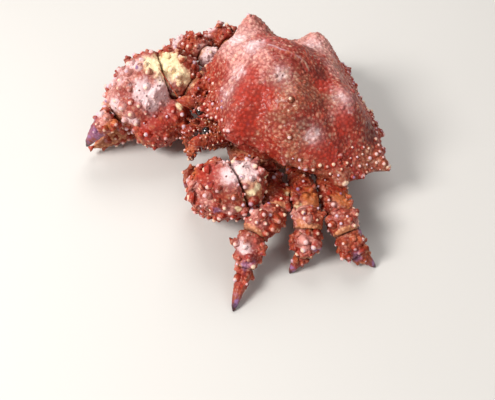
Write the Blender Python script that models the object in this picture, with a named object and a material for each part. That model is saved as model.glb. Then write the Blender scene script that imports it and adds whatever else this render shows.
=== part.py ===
"""Puget Sound king crab (Lopholithodes mandtii), a still life-size model.

Metres, +Z up. The crab faces -Y and its own left side is +X. Places are counted in
UNIT, 1/224 of the width of the carapace over its side spines, from the floor under the
middle of the thorax, so CARAPACE_WIDTH drives every size. At the end the whole is moved
so that the origin is on the floor under the middle of its box.
"""

import math
import random

import bmesh
import bpy
from mathutils import Matrix, Vector
from mathutils.bvhtree import BVHTree

# Driving dimensions
CARAPACE_WIDTH = 0.165
UNIT = CARAPACE_WIDTH / 224
JOINT_GAP = 0.0003
FLOOR_CLEARANCE = 0.0004
MERGE = 2e-6
SEED = 41

# Levels of the body, in units
PLATE_UNDERSIDE = 38.0
THORAX_UNDERSIDE = 21.0
LIP_THICKNESS = 5.0
THORAX_HALF_WIDTH = 46.0
THORAX_HALF_LENGTH = 62.0
WALL_HALF_WIDTH = 49.0
CORNER_TRIM = 0.74
ABDOMEN_HALF_THICKNESS = 6.8

# Rim of the carapace, left half from front to rear: x, y, z, height of the plateau inside it,
# and how steeply the shell climbs from the rim to that plateau
RIM = (
    (0, -82, 74, 106, 5.0),
    (18, -74, 77, 108, 6.0),
    (34, -74, 78, 110, 8.0),
    (49, -69, 78, 112, 9.0),
    (58, -48, 75, 106, 5.0),
    (78, -25, 68, 100, 3.4),
    (94, 6, 60, 96, 2.8),
    (104, 30, 52, 92, 2.6),
    (97, 50, 50, 88, 2.4),
    (89, 74, 49, 84, 2.6),
    (50, 84, 50, 86, 2.8),
    (0, 84, 51, 88, 2.8),
)
CROWN_HEIGHT = 106.0
CARAPACE_STYLE = (48, 22)
RIM_SHARE = 14 / CARAPACE_STYLE[1]
RIM_SMOOTHNESS = 0.7
BLUNTNESS = 0.22

# Blunt prominences of the carapace: x, y, rise, spread across, spread along, and how
# steeply each one falls off past its spread
PROMINENCES = (
    (0, -8, 29, 28, 31, 2.8),
    (63, -12, 38, 24, 27, 1.6),
    (-63, -27, 63, 22, 23, 1.6),
    (47, 50, 27, 21, 20, 1.8),
    (-47, 50, 30, 21, 20, 1.8),
    (0, 48, 16, 19, 17, 1.8),
    (24, -52, 8, 15, 14, 1.6),
    (-24, -52, 8, 15, 14, 1.6),
)

# Spines along the rim: x, y, z, outward reach, radius of the root
RIM_SPINES = (
    (46, -66, 88, 6, 6),
    (53, -58, 76, 6, 5),
    (64, -40, 73, 7, 6),
    (77, -23, 68, 9, 7),
    (87, -6, 64, 7, 6),
    (101, 26, 53, 10, 9),
    (97, 47, 50, 6, 6),
    (88, 71, 49, 11, 9),
    (70, 78, 49, 7, 6),
    (48, 82, 50, 9, 7),
    (22, 82, 51, 7, 6),
)

# Tubercles of the back: how many, how far apart, and their sizes in units
BACK_TUBERCLES = 58
BACK_SPACING = 13.5
BACK_SIZES = (2.9, 3.5, 4.3)

# Limbs: joints of each chain from the body to the tip, x, y, z in units
LEFT_LEGS = (
    ((46, -30, 29), (58, -30, 29), (113, -38, 39), (131, -67, 39), (152, -78, 17), (184, -98, 0)),
    ((46, -2, 29), (58, -2, 29), (118, -11, 38), (136, -15, 34), (148, -22, 12), (156, -37, 0)),
    ((46, 26, 28), (58, 26, 28), (126, 18, 32), (146, 19, 31), (158, 24, 12), (169, 42, 0)),
)
RIGHT_LEGS = (
    ((-46, -30, 29), (-58, -32, 30), (-100, -62, 69), (-124, -80, 58), (-146, -98, 22), (-176, -118, 0)),
    ((-46, -2, 29), (-58, -4, 30), (-114, -34, 64), (-139, -42, 53), (-156, -52, 18), (-170, -70, 0)),
    ((-46, 26, 28), (-58, 26, 28), (-120, 14, 37), (-143, 14, 36), (-157, 20, 14), (-169, 38, 0)),
)
RIGHT_CLAW = (
    (-36, -53, 29), (-43, -60, 31), (-63, -84, 56), (-81, -112, 61), (-48, -152, 42), (-38, -200, 15),
)
LEFT_CLAW = ((36, -53, 29), (43, -60, 31), (73, -56, 51), (95, -70, 57), (75, -98, 44), (51, -112, 17))
CLAW_SCALES = {"claw_right": 1.45, "claw_left": 1.12}
ABDOMEN = ((0, 69, 45), (0, 69, 14), (0, 30, 14), (0, 0, 14), (0, -36, 14))
ABDOMEN_WIDTHS = (31, 35, 36, 30, 17)

# Swellings of each palm's lower edge: place and three half sizes, in units
PALM_SWELLINGS = {
    "claw_right": (((-29, -128, 33), (20, 25, 21)), ((-34, -107, 38), (17, 17, 22))),
    "claw_left": (((88, -92, 42), (15, 20, 14)),),
}

# How far the middle of a leg's merus is lifted, on the left (1) and on the right (-1)
MERUS_BENDS = {1: 0, -1: -4}

# Half width, half height of each limb segment at its two ends, in units
LEG_SIZES = {
    "base": ((9, 8), (10, 8)),
    "merus": ((11, 8), (15, 11.5)),
    "carpus": ((14, 12.5), (14, 12.5)),
    "propodus": ((14, 12.5), (10.5, 9.5)),
    "dactyl": ((9, 8.5), (2.2, 2.4)),
}
CLAW_SIZES = {
    "merus": ((10, 10), (15, 16)),
    "carpus": ((16, 17), (20, 21)),
    "palm": ((22, 26), (23, 25)),
    "fixed": ((12, 12), (2.6, 3.2)),
    "finger": ((10.5, 11), (2.6, 3.0)),
}

# Rows of tubercles round each segment: angle from the top, count, size in units
LEG_ROWS = {
    "merus": ((56, 3, 3.4), (-56, 2, 3.4)),
    "carpus": ((0, 2, 4.6), (60, 1, 4.4), (-60, 1, 4.4)),
    "propodus": ((0, 2, 4.4), (60, 2, 4.2), (-60, 1, 4.2)),
}
CLAW_ROWS = {
    "merus": ((0, 2, 4.0), (60, 2, 3.8), (-60, 2, 3.8)),
    "carpus": ((0, 2, 5.0), (45, 2, 4.8), (-45, 2, 4.8), (95, 2, 4.2)),
    "palm": ((0, 3, 4.4), (40, 3, 4.4), (-40, 4, 4.4), (80, 4, 4.8), (-80, 4, 4.8)),
}

# Share of a segment's length, from its inner joint, where its tubercles start and end
ROW_SPANS = {"merus": (0.52, 0.98)}
ROW_SPAN = (0.10, 0.92)

# Corners round and along each segment's sphere primitive
LEG_STYLES = {"base": (8, 5), "merus": (10, 7), "carpus": (10, 7), "propodus": (10, 7), "dactyl": (8, 8)}
CLAW_STYLES = {"base": (8, 5), "merus": (12, 7), "carpus": (12, 8)}

# Feelers: name, root, knee, tip, and half sizes of stem and lash at their ends
FEELERS = (
    ("antennule", (7, -59, 58), (9, -88, 59), (16, -104, 68), ((3, 3), (2, 2), (0.9, 0.9), (0.5, 0.5))),
    ("antenna", (24, -59, 56), (31, -103, 65), (44, -118, 100), ((5.5, 5), (7, 6.5), (1.3, 1.3), (0.5, 0.5))),
)

# Outer mouthparts: joints, half sizes of stem and palp at their ends, and their spinules:
# 0 on the stem or 1 on the palp, share of its length, lean across, lift
MAXILLIPED = ((13, -56, 44), (13, -91, 43), (9, -100, 17))
MAXILLIPED_SIZES = ((9, 9), (7.5, 7.5), (7, 7), (3.2, 3.4))
JAW_SPINULES = (
    (0, 0.55, 0.7, 0.8),
    (0, 0.80, -0.3, 1.0),
    (0, 0.90, 0.8, 0.3),
    (1, 0.40, 0.5, -0.2),
    (1, 0.60, -0.4, 0.1),
)

# The eye's centre and radius, and the rostrum's spines: x, z, reach, radius of the root
EYE = (15, -84, 60)
EYE_RADIUS = 4.8
ROSTRUM_SPINES = ((0, 75, 14, 6.5), (10, 76, 8, 5), (-10, 76, 8, 5))

# Plain colours, linear, and roughness of each kind of part
PAINTS = {
    "carapace": ((0.52, 0.05, 0.03), 0.40),
    "base": ((0.62, 0.20, 0.08), 0.45),
    "merus": ((0.55, 0.09, 0.04), 0.42),
    "carpus": ((0.62, 0.17, 0.10), 0.42),
    "propodus": ((0.62, 0.15, 0.10), 0.42),
    "dactyl": ((0.36, 0.10, 0.13), 0.35),
    "palm": ((0.66, 0.26, 0.24), 0.42),
    "finger": ((0.45, 0.16, 0.12), 0.35),
    "abdomen": ((0.60, 0.24, 0.12), 0.48),
    "feeler": ((0.55, 0.12, 0.06), 0.45),
    "eye": ((0.012, 0.009, 0.012), 0.10),
}

MODEL = "puget_sound_king_crab"
UP = Vector((0, 0, 1))
NO_BEND = Vector((0, 0, 0))


def at(x, y, z):
    """A place given in units, in metres."""
    return Vector((x, y, z)) * UNIT


def clear_scene():
    for old in list(bpy.data.objects):
        bpy.data.objects.remove(old, do_unlink=True)
    for old in list(bpy.data.collections):
        bpy.data.collections.remove(old)
    group = bpy.data.collections.new(MODEL)
    bpy.context.scene.collection.children.link(group)
    return group


def material(name, colour, roughness=0.42):
    made = bpy.data.materials.get(name) or bpy.data.materials.new(name)
    made.use_nodes = True
    shader = made.node_tree.nodes["Principled BSDF"]
    shader.inputs["Base Color"].default_value = (*colour, 1.0)
    shader.inputs["Roughness"].default_value = roughness
    shader.inputs["Metallic"].default_value = 0.0
    return made


def object_from(name, shape, group, paint):
    """One named object from a bmesh, with its faces pointing out."""
    bmesh.ops.remove_doubles(shape, verts=shape.verts, dist=MERGE)
    bmesh.ops.recalc_face_normals(shape, faces=shape.faces)
    data = bpy.data.meshes.new(name)
    shape.to_mesh(data)
    shape.free()
    data.materials.append(paint)
    made = bpy.data.objects.new(name, data)
    group.objects.link(made)
    return made


def slice_off(shape, point, normal):
    """Cut away what lies past the plane, on the side its normal points to, and cap the cut."""
    geometry = shape.verts[:] + shape.edges[:] + shape.faces[:]
    cut = bmesh.ops.bisect_plane(
        shape, geom=geometry, plane_co=point, plane_no=normal, dist=1e-7, clear_outer=True
    )
    edges = [part for part in cut["geom_cut"] if isinstance(part, bmesh.types.BMEdge)]
    if edges:
        bmesh.ops.edgenet_fill(shape, edges=edges)


def joint_normals(joints, entry):
    """The direction of each joint's plane: entry first, then half way between its segments."""
    normals = [entry]
    for before, point, after in zip(joints, joints[1:], joints[2:]):
        normals.append(((point - before).normalized() + (after - point).normalized()).normalized())
    normals.append((joints[-1] - joints[-2]).normalized())
    return normals


def limb_mesh(start, end, sizes, up, sides, rings, bend=NO_BEND, box=2.6, reach=0.45):
    """A sphere primitive drawn out from start to end, with its own width and height.

    sizes holds the half width and half height at both ends, in units. bend lifts the middle
    of its axis. reach is how far its round ends run past the joints.
    """
    shape = bmesh.new()
    bmesh.ops.create_uvsphere(shape, u_segments=sides, v_segments=rings, radius=1.0)
    along = end - start
    length = along.length
    over_start = reach * max(sizes[0]) * UNIT
    over_end = reach * max(sizes[1]) * UNIT
    for vert in shape.verts:
        turn = math.atan2(vert.co.y, vert.co.x)
        share = 1.0 - math.acos(max(-1.0, min(1.0, vert.co.z))) / math.pi
        t = (share * (length + over_start + over_end) - over_start) / length
        full = (1.0 - abs(2.0 * share - 1.0) ** box) ** (1.0 / box) * UNIT
        inside = min(1.0, max(0.0, t))
        wide = sizes[0][0] + (sizes[1][0] - sizes[0][0]) * inside
        deep = sizes[0][1] + (sizes[1][1] - sizes[0][1]) * inside
        middle = start + along * t + bend * (4.0 * inside * (1.0 - inside))
        tangent = (along + bend * (4.0 - 8.0 * inside)).normalized()
        side = tangent.cross(up).normalized()
        lift = side.cross(tangent)
        vert.co = middle + side * (math.cos(turn) * wide * full) + lift * (math.sin(turn) * deep * full)
    return shape


def blunt_cone(place, direction, length, radius, sides, tip_share, sink=0.45):
    """A closed blunt cone, its sizes in units, whose root lies sunk in the surface at place."""
    cone = bmesh.new()
    whole = length * (1.0 + sink) * UNIT
    bmesh.ops.create_cone(
        cone,
        cap_ends=True,
        segments=sides,
        radius1=radius * (1.0 + sink * 0.4) * UNIT,
        radius2=radius * tip_share * UNIT,
        depth=whole,
    )
    turn = direction.to_track_quat("Z", "Y").to_matrix().to_4x4()
    middle = place + direction * (length * UNIT - whole / 2)
    bmesh.ops.transform(cone, matrix=Matrix.Translation(middle) @ turn, verts=cone.verts)
    return cone


def joined_with(body, growths):
    """The body with its growths, by one Boolean union on their collection."""
    roots = bpy.data.collections.new(body.name + "_growths")
    bpy.context.scene.collection.children.link(roots)
    for index, growth in enumerate(growths):
        object_from(f"{body.name}_growth_{index}", growth, roots, body.data.materials[0])
    union = body.modifiers.new("Union", "BOOLEAN")
    union.operation = "UNION"
    union.operand_type = "COLLECTION"
    union.collection = roots
    union.solver = "MANIFOLD"
    graph = bpy.context.evaluated_depsgraph_get()
    shape = bmesh.new()
    shape.from_mesh(bpy.data.meshes.new_from_object(body.evaluated_get(graph)))
    body.modifiers.remove(union)
    for growth in list(roots.objects):
        bpy.data.objects.remove(growth, do_unlink=True)
    bpy.data.collections.remove(roots)
    return shape


def keep_largest(shape):
    """Remove every closed surface but the one with the most corners."""
    seen = set()
    islands = []
    for vert in shape.verts:
        if vert in seen:
            continue
        seen.add(vert)
        island = [vert]
        for reached in island:
            for edge in reached.link_edges:
                other = edge.other_vert(reached)
                if other not in seen:
                    seen.add(other)
                    island.append(other)
        islands.append(island)
    islands.sort(key=len)
    for island in islands[:-1]:
        bmesh.ops.delete(shape, geom=island, context="VERTS")


def build_node(name, shape, growths, planes, group, paint):
    """A node: its body with growths fused on, then cut face to face with its neighbours."""
    made = object_from(name, shape, group, paint)
    if growths:
        shape = joined_with(made, growths)
    else:
        shape = bmesh.new()
        shape.from_mesh(made.data)
    for point, normal in planes:
        slice_off(shape, point, normal)
    bmesh.ops.remove_doubles(shape, verts=shape.verts, dist=MERGE)
    keep_largest(shape)
    bmesh.ops.triangulate(shape, faces=[face for face in shape.faces if len(face.verts) > 4])
    bmesh.ops.recalc_face_normals(shape, faces=shape.faces)
    shape.to_mesh(made.data)
    shape.free()
    made.data.shade_smooth()
    made.data.set_sharp_from_angle(angle=math.radians(40))
    return made


def rim_values(angle):
    """Radius, height, plateau and steepness of the carapace rim at an angle from the front."""
    rows = [(math.atan2(x, -y), math.hypot(x, y), z, top, steep) for x, y, z, top, steep in RIM]
    rows.insert(0, (-rows[1][0], *rows[1][1:]))
    rows.append((2 * math.pi - rows[-2][0], *rows[-2][1:]))
    turned = abs(angle)
    index = 1
    while index < len(rows) - 3 and turned > rows[index + 1][0]:
        index += 1
    before, low, high, after = rows[index - 1 : index + 3]
    span = high[0] - low[0]
    t = min(1.0, max(0.0, (turned - low[0]) / span))
    values = []
    for a, b, c, d in zip(before[1:], low[1:], high[1:], after[1:]):
        lean_low = RIM_SMOOTHNESS * (c - a) / (high[0] - before[0]) * span
        lean_high = RIM_SMOOTHNESS * (d - b) / (after[0] - low[0]) * span
        values.append(
            b * (2 * t**3 - 3 * t**2 + 1)
            + lean_low * (t**3 - 2 * t**2 + t)
            + c * (3 * t**2 - 2 * t**3)
            + lean_high * (t**3 - t**2)
        )
    return values


def wall_radius(angle):
    """Radius of the recessed wall under the rim, a box with its corners cut off."""
    across = abs(math.sin(angle))
    along = abs(math.cos(angle))
    sides = WALL_HALF_WIDTH / max(across, 1e-6)
    ends = THORAX_HALF_LENGTH / max(along, 1e-6)
    corners = (WALL_HALF_WIDTH + THORAX_HALF_LENGTH) * CORNER_TRIM / (across + along)
    return min(sides, ends, corners)


def shell_height(x, y, share, plateau, steep, rim):
    """Height of the carapace surface inside its rim."""
    blend = share * share * (3.0 - 2.0 * share)
    crown = CROWN_HEIGHT + (plateau - CROWN_HEIGHT) * blend
    height = rim + (crown - rim) * (1.0 - share**steep)
    for px, py, rise, wide, long, fall in PROMINENCES:
        far = math.sqrt(((x - px) / wide) ** 2 + ((y - py) / long) ** 2 + BLUNTNESS**2) - BLUNTNESS
        height += rise * math.exp(-(far**fall)) * (1.0 - share**6)
    return height


def carapace_body(segments, rings):
    """The carapace: a sphere primitive laid out as crown, rim, lip and recessed wall."""
    shape = bmesh.new()
    bmesh.ops.create_uvsphere(shape, u_segments=segments, v_segments=rings, radius=1.0)
    for vert in shape.verts:
        polar = math.acos(max(-1.0, min(1.0, vert.co.z))) / math.pi
        angle = math.atan2(vert.co.x, -vert.co.y)
        radius, rim, plateau, steep = rim_values(angle)
        if polar <= RIM_SHARE:
            share = 1.0 - (1.0 - polar / RIM_SHARE) ** 1.35
            across = radius * share
            height = shell_height(
                math.sin(angle) * across, -math.cos(angle) * across, share, plateau, steep, rim
            )
        else:
            down = (polar - RIM_SHARE) / (1.0 - RIM_SHARE)
            wall = wall_radius(angle)
            foot = PLATE_UNDERSIDE - 6.0
            stops = (
                (0.0, radius, rim),
                (0.125, radius * 0.985, rim - LIP_THICKNESS),
                (0.5, wall, rim - LIP_THICKNESS),
                (0.75, wall, foot),
                (1.0, 0.0, foot),
            )
            for low, high in zip(stops, stops[1:]):
                if down <= high[0]:
                    break
            part = (down - low[0]) / (high[0] - low[0])
            across = low[1] + (high[1] - low[1]) * part
            height = low[2] + (high[2] - low[2]) * part
        vert.co = at(math.sin(angle) * across, -math.cos(angle) * across, height)
    return shape


def carapace_growths(body):
    """Rim spines, the spines of the rostrum, and the tubercles of the back."""
    draw = random.Random(SEED)
    growths = []
    for x, y, z, reach, root in RIM_SPINES:
        for side in (1, -1):
            outward = Vector((side * x, y * 0.9, 14)).normalized()
            growths.append(blunt_cone(at(side * x, y, z), outward, reach, root, 7, 0.36))
    for x, z, reach, root in ROSTRUM_SPINES:
        forward = Vector((x * 0.03, -1, 0.3)).normalized()
        growths.append(blunt_cone(at(x, -77, z), forward, reach, root, 6, 0.32))
    surface = BVHTree.FromBMesh(body)
    placed = []
    tries = 0
    while len(placed) < BACK_TUBERCLES and tries < BACK_TUBERCLES * 60:
        tries += 1
        angle = draw.uniform(-math.pi, math.pi)
        share = draw.uniform(0.0, 1.0) ** 0.42 * 0.97
        radius = rim_values(angle)[0] * share
        spot = at(math.sin(angle) * radius, -math.cos(angle) * radius, 300)
        if any((spot - other).length < BACK_SPACING * UNIT for other in placed):
            continue
        hit, normal, _, _ = surface.ray_cast(spot, Vector((0, 0, -1)))
        if hit is None:
            continue
        placed.append(spot)
        size = draw.choice(BACK_SIZES)
        lean = (normal * 1.4 + Vector((0, 0, 0.5))).normalized()
        growths.append(blunt_cone(hit, lean, size * 0.8, size, 5, 0.45))
    return growths


def limb_growths(body, start, end, up, rows, span, draw):
    """Blunt tubercles in rows along a segment.

    Each row has its angle round the segment, 0 on top, its count and its size in units. span
    holds the shares of the segment's length where the rows start and end.
    """
    surface = BVHTree.FromBMesh(body)
    along = (end - start).normalized()
    side = along.cross(up).normalized()
    lift = side.cross(along)
    growths = []
    for degrees, count, size in rows:
        for index in range(count):
            step = (index + 0.5 + draw.uniform(-0.18, 0.18)) / count
            share = span[0] + (span[1] - span[0]) * step
            angle = math.radians(degrees) + draw.uniform(-0.22, 0.22)
            outward = lift * math.cos(angle) + side * math.sin(angle)
            hit, normal, _, _ = surface.ray_cast(start.lerp(end, share) + outward * 60 * UNIT, -outward)
            if hit is None:
                continue
            grown = size * draw.choice((0.8, 1.0, 1.2))
            lean = (normal + outward * 0.6 + along * 0.2).normalized()
            growths.append(blunt_cone(hit, lean, grown * 1.25, grown, 5, 0.4))
    return growths


def make_segment(name, part, ends, normals, sizes, rows, bend, style, group, draw):
    """One limb segment between two joints, cut on both joint planes and clear of the floor."""
    start, end = ends
    half = JOINT_GAP / 2
    sides, rings = style
    body = limb_mesh(start, end, sizes, UP, sides, rings, bend)
    span = ROW_SPANS.get(part, ROW_SPAN)
    growths = limb_growths(body, start, end, UP, rows, span, draw)
    planes = [(start + normals[0] * half, -normals[0])]
    if normals[1] is not None:
        planes.append((end - normals[1] * half, normals[1]))
        planes.append((Vector((0, 0, FLOOR_CLEARANCE)), -UP))
    else:
        planes.append((Vector((0, 0, 0)), -UP))
    return build_node(name, body, growths, planes, group, paint_of(part))


def make_leg(prefix, joints, group, draw):
    """A walking leg: base, merus, carpus, propodus and dactyl, each its own node."""
    points = [at(*joint) for joint in joints]
    side = 1 if joints[0][0] > 0 else -1
    normals = joint_normals(points, Vector((side, 0, 0)))
    lift = MERUS_BENDS[side]
    bends = {"merus": at(0, 0, lift), "dactyl": at(0, 0, 3.5)}
    for index, part in enumerate(("base", "merus", "carpus", "propodus", "dactyl")):
        far = None if part == "dactyl" else normals[index + 1]
        make_segment(
            f"{prefix}_{part}",
            part,
            points[index : index + 2],
            (normals[index], far),
            LEG_SIZES[part],
            LEG_ROWS.get(part, ()),
            bends.get(part, NO_BEND),
            LEG_STYLES[part],
            group,
            draw,
        )


def scaled(sizes, scale):
    return tuple((wide * scale, deep * scale) for wide, deep in sizes)


def make_claw(prefix, joints, group, draw):
    """A claw: base, merus, carpus, palm with the fixed finger, and the moving finger."""
    points = [at(*joint) for joint in joints]
    scale = CLAW_SCALES[prefix]
    side = 1 if joints[0][0] > 0 else -1
    normals = joint_normals(points[:5], Vector((side, -1, 0)).normalized())
    for index, part in enumerate(("base", "merus", "carpus")):
        make_segment(
            f"{prefix}_{part}",
            part,
            points[index : index + 2],
            (normals[index], normals[index + 1]),
            LEG_SIZES["base"] if part == "base" else scaled(CLAW_SIZES[part], scale),
            CLAW_ROWS.get(part, ()),
            NO_BEND,
            CLAW_STYLES[part],
            group,
            draw,
        )
    make_hand(prefix, points[3:], normals[3], scale, side, group, draw)


def swelling(place, sizes):
    """An egg-shaped swelling."""
    egg = bmesh.new()
    bmesh.ops.create_uvsphere(egg, u_segments=10, v_segments=7, radius=UNIT)
    size = Matrix.Diagonal((*sizes, 1.0))
    bmesh.ops.transform(egg, matrix=Matrix.Translation(at(*place)) @ size, verts=egg.verts)
    return egg


def make_hand(prefix, points, wrist_normal, scale, side, group, draw):
    """The palm, with the fixed finger in one piece, and the moving finger on the flat beside it."""
    wrist, knuckle, tip = points
    half = JOINT_GAP / 2
    unit = scale * UNIT
    forward = (tip - knuckle).normalized()
    apart = Vector((side * -0.35, 0, 1))
    apart = (apart - forward * apart.dot(forward)).normalized()
    palm = limb_mesh(wrist, knuckle, scaled(CLAW_SIZES["palm"], scale), UP, 16, 11)
    growths = limb_growths(palm, wrist, knuckle, UP, CLAW_ROWS["palm"], ROW_SPAN, draw)
    slice_off(palm, wrist + wrist_normal * half, -wrist_normal)
    for growth in growths:
        slice_off(growth, wrist + wrist_normal * (half + JOINT_GAP), -wrist_normal)
    growths = [growth for growth in growths if growth.verts]
    face = knuckle + forward * 9 * unit
    slice_off(palm, face - forward * half, forward)
    fixed = limb_mesh(
        knuckle - apart * 11 * unit,
        tip - apart * 3.4 * unit,
        scaled(CLAW_SIZES["fixed"], scale),
        apart,
        10,
        8,
        bend=apart * -4 * unit,
    )
    slice_off(fixed, knuckle - apart * 0.5 * unit - apart * half, apart)
    growths.append(fixed)
    for place, sizes in PALM_SWELLINGS[prefix]:
        growths.append(swelling(place, sizes))
    floor = (Vector((0, 0, FLOOR_CLEARANCE)), -UP)
    build_node(f"{prefix}_palm", palm, growths, [floor], group, paint_of("palm"))
    finger = limb_mesh(
        knuckle + apart * 11 * unit,
        tip + apart * 3.4 * unit,
        scaled(CLAW_SIZES["finger"], scale),
        apart,
        10,
        8,
        bend=apart * 6 * unit,
    )
    planes = [
        (face + forward * half, -forward),
        (knuckle - apart * 0.5 * unit + apart * half, -apart),
        floor,
    ]
    build_node(f"{prefix}_finger", finger, [], planes, group, paint_of("finger"))


def make_thorax(group):
    """The sternum block that the limbs meet: a cube cut by the plane of each limb's root."""
    shape = bmesh.new()
    bmesh.ops.create_cube(shape, size=1.0)
    wide = THORAX_HALF_WIDTH * 2 * UNIT - JOINT_GAP
    long = THORAX_HALF_LENGTH * 2 * UNIT - JOINT_GAP
    top = PLATE_UNDERSIDE * UNIT - JOINT_GAP / 2
    low = THORAX_UNDERSIDE * UNIT + JOINT_GAP / 2
    size = Matrix.Diagonal((wide, long, top - low, 1.0))
    bmesh.ops.transform(
        shape, matrix=Matrix.Translation((0, 0, (top + low) / 2)) @ size, verts=shape.verts
    )
    for side in (1, -1):
        front = Vector((side, -1, 0)).normalized()
        slice_off(shape, at(side * 36, -53, 0) - front * JOINT_GAP / 2, front)
        rear = Vector((side, 1, 0)).normalized()
        slice_off(shape, at(side * 36, 53, 0), rear)
    build_node("thorax", shape, [], [], group, paint_of("base"))


def make_abdomen(group):
    """The folded abdomen: plates down the rear wall, then forward under the thorax."""
    points = [at(*place) for place in ABDOMEN]
    normals = joint_normals(points, Vector((0, 0, -1)))
    half = JOINT_GAP / 2
    for index, name in enumerate(("abdomen_base", "abdomen_front", "abdomen_middle", "abdomen_tail")):
        start, end = points[index], points[index + 1]
        sizes = (
            (ABDOMEN_WIDTHS[index], ABDOMEN_HALF_THICKNESS),
            (ABDOMEN_WIDTHS[index + 1], ABDOMEN_HALF_THICKNESS),
        )
        across = Vector((0, 1, 0)) if index == 0 else UP
        shape = limb_mesh(start, end, sizes, across, 12, 7, box=3.0, reach=0.2)
        planes = [(start + normals[index] * half, -normals[index])]
        if index < 3:
            planes.append((end - normals[index + 1] * half, normals[index + 1]))
        if index == 0:
            planes.append((at(0, THORAX_HALF_LENGTH, 0) + Vector((0, half, 0)), Vector((0, -1, 0))))
        planes.append((at(0, 0, THORAX_UNDERSIDE) - UP * half, UP) if index else planes[0])
        build_node(name, shape, [], planes, group, paint_of("abdomen"))


def make_jaw(side):
    """The stem of an outer mouthpart, and its drooping palp and spinules that are fused to it."""
    joints = [at(side * x, y, z) for x, y, z in MAXILLIPED]
    stem = limb_mesh(joints[0], joints[1], MAXILLIPED_SIZES[:2], UP, 8, 6)
    palp = limb_mesh(joints[1], joints[2], MAXILLIPED_SIZES[2:], UP, 8, 6, bend=at(0, -4, 3))
    growths = [palp]
    for link, share, across, lift in JAW_SPINULES:
        place = joints[link].lerp(joints[link + 1], share)
        outward = Vector((side * across, -0.8, lift)).normalized()
        radius = MAXILLIPED_SIZES[2 * link][0] * 0.8 * UNIT
        growths.append(blunt_cone(place + outward * radius, outward, 5.5, 2.4, 5, 0.4))
    return stem, growths


def make_face(group):
    """Eyes, antennules, antennae and outer mouthparts, each rooted on the wall under the rostrum."""
    wall = (at(0, -THORAX_HALF_LENGTH, 0) - Vector((0, JOINT_GAP, 0)), Vector((0, 1, 0)))
    for side, hand in ((1, "left"), (-1, "right")):
        stalk_end = at(side * EYE[0], EYE[1], EYE[2])
        stalk = limb_mesh(
            at(side * 14, -60, EYE[2]), stalk_end, ((4, 4), (4.4, 4.4)), UP, 8, 6
        )
        ball = bmesh.new()
        bmesh.ops.create_uvsphere(ball, u_segments=8, v_segments=6, radius=EYE_RADIUS * UNIT)
        bmesh.ops.translate(ball, verts=ball.verts, vec=stalk_end)
        build_node(f"eye_{hand}", stalk, [ball], [wall], group, paint_of("eye"))
        for name, root, knee, tip, sizes in FEELERS:
            root, knee, tip = [at(side * x, y, z) for x, y, z in (root, knee, tip)]
            stem = limb_mesh(root, knee, (sizes[0], sizes[1]), UP, 8, 6)
            lash = limb_mesh(
                knee - (knee - root).normalized() * 2 * UNIT, tip, (sizes[2], sizes[3]), UP, 6, 9,
                bend=at(side * 2, -3, 7), box=6.0,
            )
            build_node(f"{name}_{hand}", stem, [lash], [wall], group, paint_of("feeler"))
        build_node(f"maxilliped_{hand}", *make_jaw(side), [wall], group, paint_of("feeler"))


def paint_of(part):
    """The plain material of a kind of part."""
    colour, roughness = PAINTS[part]
    return material(f"shell_{part}", colour, roughness)


def centre_on_floor(group):
    """Move every node so that the origin is on the floor under the middle of the whole."""
    corners = [vert.co for made in group.objects for vert in made.data.vertices]
    low = [min(corner[axis] for corner in corners) for axis in range(2)]
    high = [max(corner[axis] for corner in corners) for axis in range(2)]
    shift = Vector((-(low[0] + high[0]) / 2, -(low[1] + high[1]) / 2, 0))
    for made in group.objects:
        made.data.transform(Matrix.Translation(shift))


def make_crab():
    group = clear_scene()
    shell = carapace_body(*CARAPACE_STYLE)
    growths = carapace_growths(shell)
    under = [(at(0, 0, PLATE_UNDERSIDE) + UP * JOINT_GAP / 2, -UP)]
    build_node("carapace", shell, growths, under, group, paint_of("carapace"))
    make_thorax(group)
    make_abdomen(group)
    make_face(group)
    draw = random.Random(SEED + 1)
    for number, (left, right) in enumerate(zip(LEFT_LEGS, RIGHT_LEGS), start=1):
        make_leg(f"leg_{number}_left", left, group, draw)
        make_leg(f"leg_{number}_right", right, group, draw)
    make_claw("claw_right", RIGHT_CLAW, group, draw)
    make_claw("claw_left", LEFT_CLAW, group, draw)
    centre_on_floor(group)


make_crab()
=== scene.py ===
"""Puget Sound king crab: the fine shell, eyes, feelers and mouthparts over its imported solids.

Metres, +Z up, the crab faces -Y and its own left side is +X. Places of colour patches are in
UNIT, from the floor under the middle of the thorax.
"""

import math

import bpy
import numpy as np
from bpy.props import FloatProperty, FloatVectorProperty, IntProperty, PointerProperty
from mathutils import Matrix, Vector, kdtree
from mathutils.bvhtree import BVHTree


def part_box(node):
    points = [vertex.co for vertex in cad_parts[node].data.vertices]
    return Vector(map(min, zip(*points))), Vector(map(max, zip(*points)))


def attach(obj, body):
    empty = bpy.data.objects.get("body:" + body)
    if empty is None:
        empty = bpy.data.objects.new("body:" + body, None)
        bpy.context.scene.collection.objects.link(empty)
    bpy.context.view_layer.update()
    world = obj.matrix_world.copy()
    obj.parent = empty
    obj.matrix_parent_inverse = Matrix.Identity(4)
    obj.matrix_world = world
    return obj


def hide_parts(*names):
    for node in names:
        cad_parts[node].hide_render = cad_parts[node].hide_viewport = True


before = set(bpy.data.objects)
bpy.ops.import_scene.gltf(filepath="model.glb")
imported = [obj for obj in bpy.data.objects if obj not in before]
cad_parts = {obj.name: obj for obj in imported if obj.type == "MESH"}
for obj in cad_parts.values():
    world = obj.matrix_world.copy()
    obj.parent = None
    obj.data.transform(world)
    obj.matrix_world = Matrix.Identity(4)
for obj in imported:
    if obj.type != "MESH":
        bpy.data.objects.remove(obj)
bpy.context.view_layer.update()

bl_info = {
    "name": "Puget Sound king crab",
    "version": (1, 0, 0),
    "blender": (4, 5, 0),
    "location": "View3D > Sidebar > Crab",
    "description": "Builds the fine shell of a king crab over its solids",
    "category": "Object",
}

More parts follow.
